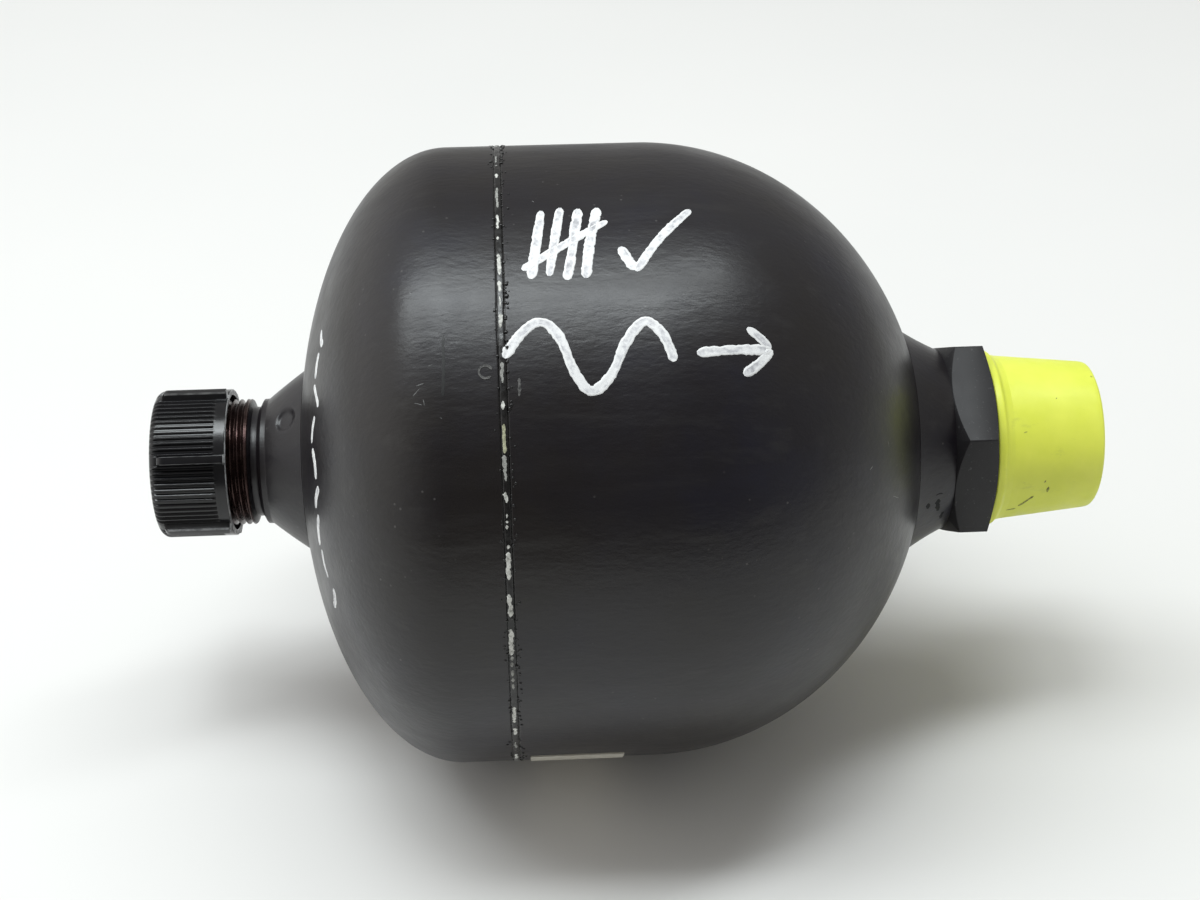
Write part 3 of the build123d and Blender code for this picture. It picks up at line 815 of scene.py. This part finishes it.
# Bare label plate, stuck on under the belt just behind the seam
plate_start, plate_end = on_vessel(530.7, 757.0)[0], on_vessel(624, 753.0)[0]
plate_angle = on_vessel(577, 752.0)[1]
plate_angles = [plate_angle + math.radians(2.0) + math.radians(34.0) * k / 40 for k in range(41)]
verts, faces = [], []
for lift in (0.32, 0.0):
    for a in plate_angles:
        for k in range(9):
            x = plate_start + (plate_end - plate_start) * k / 8
            verts.append(surface_point(x, a, lift) * MM)
rows, columns = len(plate_angles), 9
for layer in range(2):
    base = layer * rows * columns
    for j in range(rows - 1):
        for k in range(columns - 1):
            a = base + j * columns + k
            faces.append((a, a + 1, a + 1 + columns, a + columns))
rim = [k for k in range(columns)] + [j * columns + columns - 1 for j in range(1, rows)]
rim += [(rows - 1) * columns + k for k in range(columns - 2, -1, -1)] + [j * columns for j in range(rows - 2, 0, -1)]
for k, a in enumerate(rim):
    b = rim[(k + 1) % len(rim)]
    faces.append((a, b, b + rows * columns, a + rows * columns))
mesh = bpy.data.meshes.new("label_plate")
mesh.from_pydata(verts, [], faces)
place("label_plate", tidy(mesh), plate_metal, "vessel")


# Threads and the two bosses
def thread_wave(x, angle, pitch=thread_pitch):
    """1 on a thread's crest and 0 in its root."""
    phase = (x / pitch - angle / (2 * math.pi)) % 1.0
    return max(0.0, min(1.0, (abs(phase - 0.5) * 2 - 0.10) / 0.74))


def reach(radius, depth, at_radius):
    """Distance from a dome's base to its surface at a given radius."""
    return depth * math.sqrt(1 - (at_radius / radius) ** 2)


def bulged(start, end, sag, steps=20):
    """Points of a shallow curve from start to end that stands out by sag in its middle."""
    start, end = Vector(start), Vector(end)
    chord = end - start
    middle = (start + end) / 2 + Vector((-chord.y, chord.x)).normalized() * sag
    control = 2 * middle - (start + end) / 2
    out = []
    for k in range(1, steps + 1):
        t = k / steps
        out.append(tuple(start * (1 - t) ** 2 + control * 2 * t * (1 - t) + end * t * t))
    return out


def seat_line(base, side, depth, skirt, spigot, mouth):
    """Back of a boss: a narrow groove at its skirt, the pocket for its weld, and the spigot."""
    lip, pocket = skirt - mouth, skirt - 2.5
    points = [(base + side * (reach(68.02, depth + 0.02, lip)), lip)]
    points += [(base + side * (reach(68.02, depth + 0.02, pocket)), pocket)]
    steps = 6
    for k in range(steps + 1):
        r = pocket + (spigot - pocket) * k / steps
        points.append((base + side * reach(68.4, depth + 0.4, r), r))
    return points


neck_skirt = gas_base - reach(68.4, gas_depth + 0.4, 20.2)
neck_foot = gas_base - reach(68.05, gas_depth + 0.05, 20.3)
neck_collar = neck_skirt - 8.1
neck_shoulder = neck_collar - 1.2
neck_groove = neck_shoulder - 0.8
neck_runout = neck_groove - 1.2
thread_end = neck_runout - 0.9
neck_inner_end = gas_base - reach(62.0, gas_depth - 6.0, 12.0)
screw_seat = neck_end + 7.5


def flare_profile(x):
    """Outside radius of the neck's flare, and nothing beyond it."""
    share = (x - neck_collar) / (neck_skirt - neck_collar)
    return 13.95 + 6.25 * share if 0 <= share <= 1 else 0.0


dimple = on_surface(285.5, 419, flare_profile)
dimple_x, dimple_angle = dimple.x, math.atan2(dimple.z, dimple.y)


def neck_section(angle):
    points = [(neck_end, 10.0), (neck_end, 12.8), (neck_end + 0.1, 12.95), (neck_end + 0.5, 13.3)]
    x = neck_end + 0.9
    while x < thread_end - 0.01:
        fade = min(1.0, (thread_end - x) / 0.8)
        points.append((x, 13.95 - 0.9 * (1 - thread_wave(x, angle)) * fade))
        x += 0.125
    points += [(thread_end, 13.93), (thread_end + 0.2, 13.75), (neck_runout - 0.15, 12.3), (neck_runout + 0.15, 12.15)]
    points += [(neck_groove - 0.15, 12.15), (neck_groove + 0.1, 12.35), (neck_shoulder - 0.12, 13.55)]
    points += [(neck_shoulder + 0.12, 13.85), (neck_collar - 0.1, 13.9), (neck_collar, 13.95)]
    for x, r in bulged((neck_collar, 13.95), (neck_foot, 20.3), 0.1, 34):
        away = math.hypot((x - dimple_x) * 1.27, r * ((angle - dimple_angle + math.pi) % (2 * math.pi) - math.pi))
        points.append((x, r - 0.85 * (1 - ramp(away, 1.6, 3.2))))
    points += seat_line(gas_base, -1, gas_depth, 20.2, 12.0, 0.1)
    points += [(neck_inner_end, 12.0), (neck_inner_end, 2.5), (screw_seat + 14.05, 2.5), (screw_seat + 14.05, 7.05)]
    points += [(screw_seat + 1.8, 7.05), (screw_seat + 1.8, 8.9), (screw_seat, 8.9), (screw_seat, 10.0)]
    return points


def ramp(value, start, end):
    """0 before start, 1 after end, with a smooth change between."""
    t = max(0.0, min(1.0, (value - start) / (end - start)))
    return t * t * (3 - 2 * t)


mesh = ring_mesh("neck_skin", even_angles(300), neck_section)
mesh.materials.append(painted)
mesh.materials.append(browned)
for face in mesh.polygons:
    inside = math.hypot(face.center[1], face.center[2]) / MM < 11.0
    if face.center[0] / MM < thread_end + 0.4 or inside:
        face.material_index = 1
place("neck_skin", mesh, None, "vessel", ("neck_boss",))

hexagon_start, hexagon_back, hexagon_face = -9.3, 2.2, 1.0
across_flats, collar_radius = 41.0, 20.3
corner_radius = across_flats / 2 / math.cos(math.radians(30))
hexagon_turn = math.radians(27.2)
skirt_foot, skirt_hollow = 25.3, 0.20
skirt_x = fluid_base + reach(68.05, fluid_depth + 0.05, skirt_foot)
port_inner_end = fluid_base + reach(62.0, fluid_depth - 6.0, 16.0)


def flat_radius(angle):
    """Radius of the hexagon at an angle, with its six long edges eased."""
    turn = (angle - hexagon_turn) % math.radians(60)
    from_middle = abs(turn - math.radians(30))
    return min(across_flats / 2 / math.cos(from_middle), corner_radius - 0.08)


def port_section(angle):
    radius = flat_radius(angle)
    share = (radius - collar_radius) / (corner_radius - collar_radius)
    points = [(0.0, collar_radius - 0.3), (-0.02, collar_radius - 0.05)]
    points += [(-hexagon_face * share, radius - 0.05), (-hexagon_face * share - 0.1, radius)]
    points += [(hexagon_start + hexagon_back * share + 0.1, radius), (hexagon_start + hexagon_back * share, radius - 0.06)]
    points += [(hexagon_start + 0.02, collar_radius + 0.03)]
    points += bulged((hexagon_start, collar_radius), (skirt_x, skirt_foot), skirt_hollow, 18)
    points += seat_line(fluid_base, 1, fluid_depth, 25.2, 16.0, 0.1)
    points += [(port_inner_end, 16.0), (port_inner_end, 5.0), (-5.2, 5.0), (-2.5, 9.4)]
    x = -2.4
    while x < 12.4:
        points.append((x, 9.5 + 0.9 * (1 - thread_wave(x, angle, 1.814)) * min(1.0, (x + 2.5) / 1.2)))
        x += 0.15
    points += [(12.5, 9.55), (13.45, 10.5), (13.5, 10.6), (13.5, 15.4), (13.4, 15.6)]
    x = 12.5
    while x > 3.3:
        points.append((x, 16.5 - 0.92 * (1 - thread_wave(x, angle)) * min(1.0, (x - 2.9) / 0.8)))
        x -= 0.125
    points += [(3.2, 16.45), (2.0, 15.35), (0.25, 15.3), (0.0, 15.55)]
    return points


marks = list(even_angles(240))
for k in range(6):
    corner = hexagon_turn + math.radians(60) * k
    marks += [corner + math.radians(d) for d in (-1.6, -0.5, -0.36, 0.0, 0.36, 0.5, 1.6)]
mesh = ring_mesh("port_skin", sorted(a % (2 * math.pi) for a in marks), port_section)
mesh.materials.append(painted)
mesh.materials.append(browned)
mesh.materials.append(machined)
for face in mesh.polygons:
    inside = math.hypot(face.center[1], face.center[2]) / MM < 11.5
    x, y, z = (c / MM for c in face.center)
    if x > 0.3 or inside:
        face.material_index = 1
    elif x > hexagon_start and math.hypot(y, z) > collar_radius - 1.0:
        face.material_index = 2
place("port_skin", mesh, None, "vessel", ("port_boss",))

# Rubber bowl
rubber_start, rubber_end = span("diaphragm")
bead_end = rubber_start + 9.0
crown_gas = rubber_end - 2.5


def bowl_curve(inset, at_radius, steps):
    """Points of the bowl at an inset from the vessel, from the belt to a radius."""
    radius, depth = vessel_radius - inset, fluid_depth - inset
    end = math.degrees(math.asin(at_radius / radius))
    return arc((fluid_base, 0), (depth, radius), 90, end, steps)


outer = [(rubber_start, 61.7), (rubber_start + 6, 61.7), (rubber_start + 13, 61.7), *bowl_curve(6.3, 18.0, 48)]
crown = [(rubber_end, 14.5), (rubber_end, 8.0), (crown_gas, 8.0), (crown_gas, 14.5)]
inner_curve = bowl_curve(8.8, 18.0, 48)[::-1]
rim_side = [(bead_end + 4.0, 59.2), (bead_end, 55.5), (rubber_start, 55.5)]
bowl = rounded([(*p, 0.0) for p in outer] + [(*p, 0.0) for p in crown] + [(*p, 0.0) for p in inner_curve + rim_side])
mesh = ring_mesh("diaphragm_skin", even_angles(144), lambda a: bowl)
bowl_piece = place("diaphragm_skin", mesh, skin, None, ("diaphragm",))
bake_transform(bowl_piece)


# Grip cap
cap_radius = 16.25
ridge_angle = math.radians(23.1)
sector = math.radians(60.0)
flute_step = sector / 13


def cap_angles():
    """Angles at the corners of the ridges and flutes, with a few between."""
    marks = []
    for k in range(6):
        start = ridge_angle + k * sector
        marks += [start + math.radians(d) for d in (-3.9, -3.5, -2.85, -2.45, -1.2, 0.0, 1.2, 2.45, 2.85, 3.5, 3.9)]
        for j in range(13):
            centre = start + (j + 0.5) * flute_step
            for d in (-2.0, -1.8, -1.72, -1.2, -0.6, -0.5, 0.5, 0.6, 1.2, 1.72, 1.8, 2.0):
                offset = (j + 0.5) * flute_step + math.radians(d)
                if math.radians(4.2) < offset < sector - math.radians(4.2):
                    marks.append(centre + math.radians(d))
    return sorted(a % (2 * math.pi) for a in marks)


def grip_depth(angle, x):
    """How far the cap's surface stands from its round form: ridges out, flutes in."""
    turn = (angle - ridge_angle) % sector
    from_ridge = math.degrees(min(turn, sector - turn))
    ridge = 1 - ramp(from_ridge, 2.35, 3.75)
    flute_turn = abs(((turn / flute_step) % 1.0) - 0.5) * math.degrees(flute_step)
    flute = max(0.0, min(1.0, (1.76 - flute_turn) / 1.23))
    if from_ridge < 3.8:
        flute = 0.0
    rise = x - (cap_end + 1.8)
    full = 1.6 * math.sqrt(max(0.0, 1 - max(0.0, 1 - rise / 1.5) ** 2)) if rise > 0 else 0.0
    full *= 1 - ramp(x, cap_rim - 0.45, cap_rim - 0.2)
    shut = 1 - ramp(x, cap_rim - 2.62, cap_rim - 2.48)
    return ridge * full - 0.5 * flute * shut


def cap_section(angle):
    points = [(cap_end, 0.0), (cap_end, 6.0), (cap_end, 11.0), (cap_end, 13.6)]
    stations = arc((cap_end + 1.8, 14.45), (1.8, 1.8), 180, 90, 8)
    stations += [(cap_end + d, cap_radius) for d in (2.0, 2.25, 2.6, 3.0, 3.4, 4.0, 6.0, 8.0, 10.0, 12.0, 13.0)]
    stations += [(cap_rim - d, cap_radius) for d in (2.64, 2.56, 2.48, 2.0, 1.2, 0.5, 0.36, 0.24)]
    stations += [(cap_rim - 0.1, 16.2), (cap_rim, 16.08)]
    for x, r in stations:
        fade = ramp(r, 14.6, 16.1)
        points.append((x, r + grip_depth(angle, x) * fade))
    points += [(cap_rim, 15.6), (cap_rim, 15.15), (cap_rim - 0.15, 15.0), (cap_rim - 2.0, 14.95), (cap_rim - 2.2, 14.2)]
    points += [(cap_end + 2.3, 14.2), (cap_end + 2.3, 7.0), (cap_end + 2.3, 0.0)]
    return points


mesh = ring_mesh("valve_cap_skin", cap_angles(), cap_section, closed=False)
mesh.materials.append(plastic)
mesh.materials.append(rim_reflection)
mesh.materials.append(scratch_and_edge_highlight)
for face in mesh.polygons:
    x, y, z = (c / MM for c in face.center)
    # The rim and the ends of the ridges take the pale grey, which is a painted reflection.
    step = x > cap_rim - 0.42 and math.hypot(y, z) > cap_radius
    turn = (math.atan2(z, y) - ridge_angle) % sector
    from_ridge = math.degrees(min(turn, sector - turn))
    # A thin stripe along each ridge's tip edge takes a lighter grey: a painted highlight.
    edge = 2.45 < from_ridge < 2.85 and cap_end + 2.6 < x < cap_rim - 0.4 and math.hypot(y, z) > cap_radius
    if x > cap_rim - 0.06 or step:
        face.material_index = 1
    elif edge:
        face.material_index = 2
place("valve_cap_skin", mesh, None, "valve_cap", ("valve_cap",))

# Yellow push-on cap
plug_skin = rounded(
    [
        (plug_rim, 17.75, 0.15), (plug_rim, 19.85, 0.3), (plug_rim + 1.6, 19.8, 0.8), (plug_rim + 2.3, 18.95, 1.2),
        (plug_rim + 3.8, 18.5, 1.0), (plug_end - 1.3, 16.6, 1.2), (plug_end, 16.35, 1.3), (plug_end, 0.0),
        (plug_end - 1.2, 0.0), (plug_end - 1.2, 15.3, 0.6),
    ],
    6,
)
start = next(k for k, p in enumerate(plug_skin) if p[0] == plug_end - 1.2 and p[1] == 0.0)
plug_skin = plug_skin[start:] + plug_skin[:start]


def plug_section(angle):
    out = []
    for x, r in plug_skin:
        dent = 0.10 * noise.noise(Vector((x * 0.06, math.cos(angle) * 1.5, math.sin(angle) * 1.5)))
        out.append((x, r + dent * min(1.0, r / 12.0)))
    return out


mesh = ring_mesh("port_cap_skin", even_angles(160), plug_section, closed=False)
place("port_cap_skin", mesh, yellow, "port_cap", ("port_cap",))



def plug_profile(x):
    """Outside radius of the yellow cap's body."""
    share = (x - plug_rim - 3.8) / (plug_end - 1.3 - plug_rim - 3.8)
    return 18.5 + (16.6 - 18.5) * share if 0 <= share <= 1 else 0.0


def drop_on_plug(p):
    """Nearest point of the yellow cap's body to a point near it, and the direction out of it there."""
    radius = math.hypot(p.y, p.z)
    share = (p.x - plug_rim - 3.8) / (plug_end - 1.3 - plug_rim - 3.8)
    r = 18.5 + (16.6 - 18.5) * share
    angle = math.atan2(p.z, p.y)
    r += 0.10 * noise.noise(Vector((p.x * 0.06, math.cos(angle) * 1.5, math.sin(angle) * 1.5)))
    out = Vector((0.11, p.y / radius, p.z / radius)).normalized()
    return Vector((p.x, p.y * r / radius, p.z * r / radius)), out


scuffs = [
    ([(1006, 510), (1011, 509), (1017, 508)], 0.6), ([(1018, 506), (1026, 501), (1035, 495)], 0.45),
    ([(1044, 483), (1047, 479)], 0.35), ([(1047, 492), (1049, 486)], 0.5), ([(1024, 433), (1029, 431)], 0.25),
    ([(1056, 398), (1057, 398.5)], 0.4),
]
jobs = [([on_surface(u, v, plug_profile) for u, v in line], width, 0.02, 0.9) for line, width in scuffs]
strokes_piece("port_cap_scuffs", jobs, (smudge,), "port_cap", drop_on_plug)


# Dark smudges low on the port's skirt
def skirt_profile(x):
    """Outside radius of the port's skirt, and nothing beyond it."""
    share = (hexagon_start - x) / (hexagon_start - skirt_x)
    hollow = skirt_hollow * math.hypot(1, (skirt_foot - collar_radius) / (hexagon_start - skirt_x))
    radius = collar_radius + (skirt_foot - collar_radius) * share - 4 * hollow * share * (1 - share)
    return radius if 0 <= share <= 1 else 0.0


def drop_on_skirt(p):
    """Nearest point of the port's skirt to a point near it, and the direction out of it there."""
    radius = math.hypot(p.y, p.z)
    r = skirt_profile(p.x) or radius
    slope = (skirt_foot - collar_radius) / (hexagon_start - skirt_x)
    out = Vector((slope, p.y / radius, p.z / radius)).normalized()
    return Vector((p.x, p.y * r / radius, p.z * r / radius)), out


greasy = [
    ([(928.0, 503.5), (928.5, 506.5), (928.0, 509.5)], 0.9), ([(938.5, 499.0), (937.5, 505.0), (938.5, 511.0)], 1.2),
    ([(944.0, 511.5), (941.0, 515.0), (940.5, 519.0)], 0.9), ([(936.0, 495.5), (940.0, 493.5), (944.0, 493.8)], 0.3),
]
jobs = [([on_surface(u, v, skirt_profile) for u, v in line], width, 0.012, 0.9) for line, width in greasy]
strokes_piece("skirt_smudges", jobs, (greased,), "vessel", drop_on_skirt)

# Floor
floor_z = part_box("seam_weld")[0][2]
mesh = bpy.data.meshes.new("floor")
half = 3.0
mesh.from_pydata([(-half, -half, floor_z), (half, -half, floor_z), (half, half, floor_z), (-half, half, floor_z)], [], [(0, 1, 2, 3)])
floor = bpy.data.objects.new("floor", mesh)
bpy.context.scene.collection.objects.link(floor)
ground = Paint("floor_board", (0.805, 0.79, 0.77), 0.5)
ground.colour(ground.ramp(ground.noise(6, 3, 0.5), [(0.3, (0.795, 0.783, 0.765)), (0.7, (0.815, 0.800, 0.780))]))
mesh.materials.append(ground.material)

# Camera
data = bpy.data.cameras.new("camera")
data.sensor_width = 36.0
data.lens = focal / 1200 * 36.0
data.clip_start = 0.01
data.clip_end = 20.0
camera = bpy.data.objects.new("camera", data)
bpy.context.scene.collection.objects.link(camera)
turn = Matrix((image_right, image_up, -look)).transposed()
camera.matrix_world = Matrix.Translation(Vector(camera_at) * MM) @ turn.to_4x4()
bpy.context.scene.camera = camera


# Lights
def softbox(name, at, aim, size, power, colour=(1, 1, 1)):
    data = bpy.data.lights.new(name, "AREA")
    data.shape = "RECTANGLE"
    data.size, data.size_y = size
    data.energy = power
    data.color = colour
    lamp = bpy.data.objects.new(name, data)
    bpy.context.scene.collection.objects.link(lamp)
    lamp.location = at
    lamp.rotation_euler = (Vector(aim) - Vector(at)).to_track_quat("-Z", "Y").to_euler()
    return lamp


centre = (seam_x * MM + 0.02, 0, 0)
softbox("ceiling_left", (seam_x * MM - 0.50, 0.05, 1.2), (seam_x * MM - 0.2, 0.03, 0), (0.42, 1.1), 11.0, (0.92, 0.98, 1.0))
softbox("ceiling_right", (seam_x * MM + 0.24, 0.05, 1.25), (seam_x * MM + 0.2, 0.03, 0), (0.20, 1.1), 7.5, (0.92, 0.98, 1.0))
world = bpy.data.worlds.new("room")
bpy.context.scene.world = world
world.use_nodes = True
background = world.node_tree.nodes["Background"]
background.inputs["Strength"].default_value = 1.0


def world_ramp(value, stops):
    """A grey ramp over one component of the direction, from -1 to 1."""
    spread = world.node_tree.nodes.new("ShaderNodeMapRange")
    spread.inputs["From Min"].default_value = -1.0
    world.node_tree.links.new(value, spread.inputs["Value"])
    made = world.node_tree.nodes.new("ShaderNodeValToRGB")
    while len(made.color_ramp.elements) < len(stops):
        made.color_ramp.elements.new(0.5)
    for element, (position, grey) in zip(made.color_ramp.elements, stops):
        element.position = position
        element.color = (grey, grey, 0.99 * grey, 1)
    world.node_tree.links.new(spread.outputs["Result"], made.inputs["Fac"])
    return made.outputs["Color"]


# The room is pale on the left and dim behind the camera
direction = world.node_tree.nodes.new("ShaderNodeTexCoord").outputs["Generated"]
parts = world.node_tree.nodes.new("ShaderNodeSeparateXYZ")
world.node_tree.links.new(direction, parts.inputs["Vector"])
sideways = world_ramp(parts.outputs["X"], [(0.05, 0.98), (0.22, 0.62), (0.42, 0.34)])
depthways = world_ramp(parts.outputs["Y"], [(0.05, 0.40), (0.45, 1.16)])
room = world.node_tree.nodes.new("ShaderNodeMix")
room.data_type, room.blend_type = "RGBA", "MULTIPLY"
room.inputs["Factor"].default_value = 1.0
inputs = [socket for socket in room.inputs if socket.enabled and socket.name in "AB"]
world.node_tree.links.new(sideways, inputs[0])
world.node_tree.links.new(depthways, inputs[1])
result = [socket for socket in room.outputs if socket.enabled][0]
world.node_tree.links.new(result, background.inputs["Color"])

scene = bpy.context.scene
scene.view_settings.view_transform = "Standard"
scene.view_settings.look = "None"
scene.view_settings.exposure = 0.0
scene.view_settings.gamma = 1.0
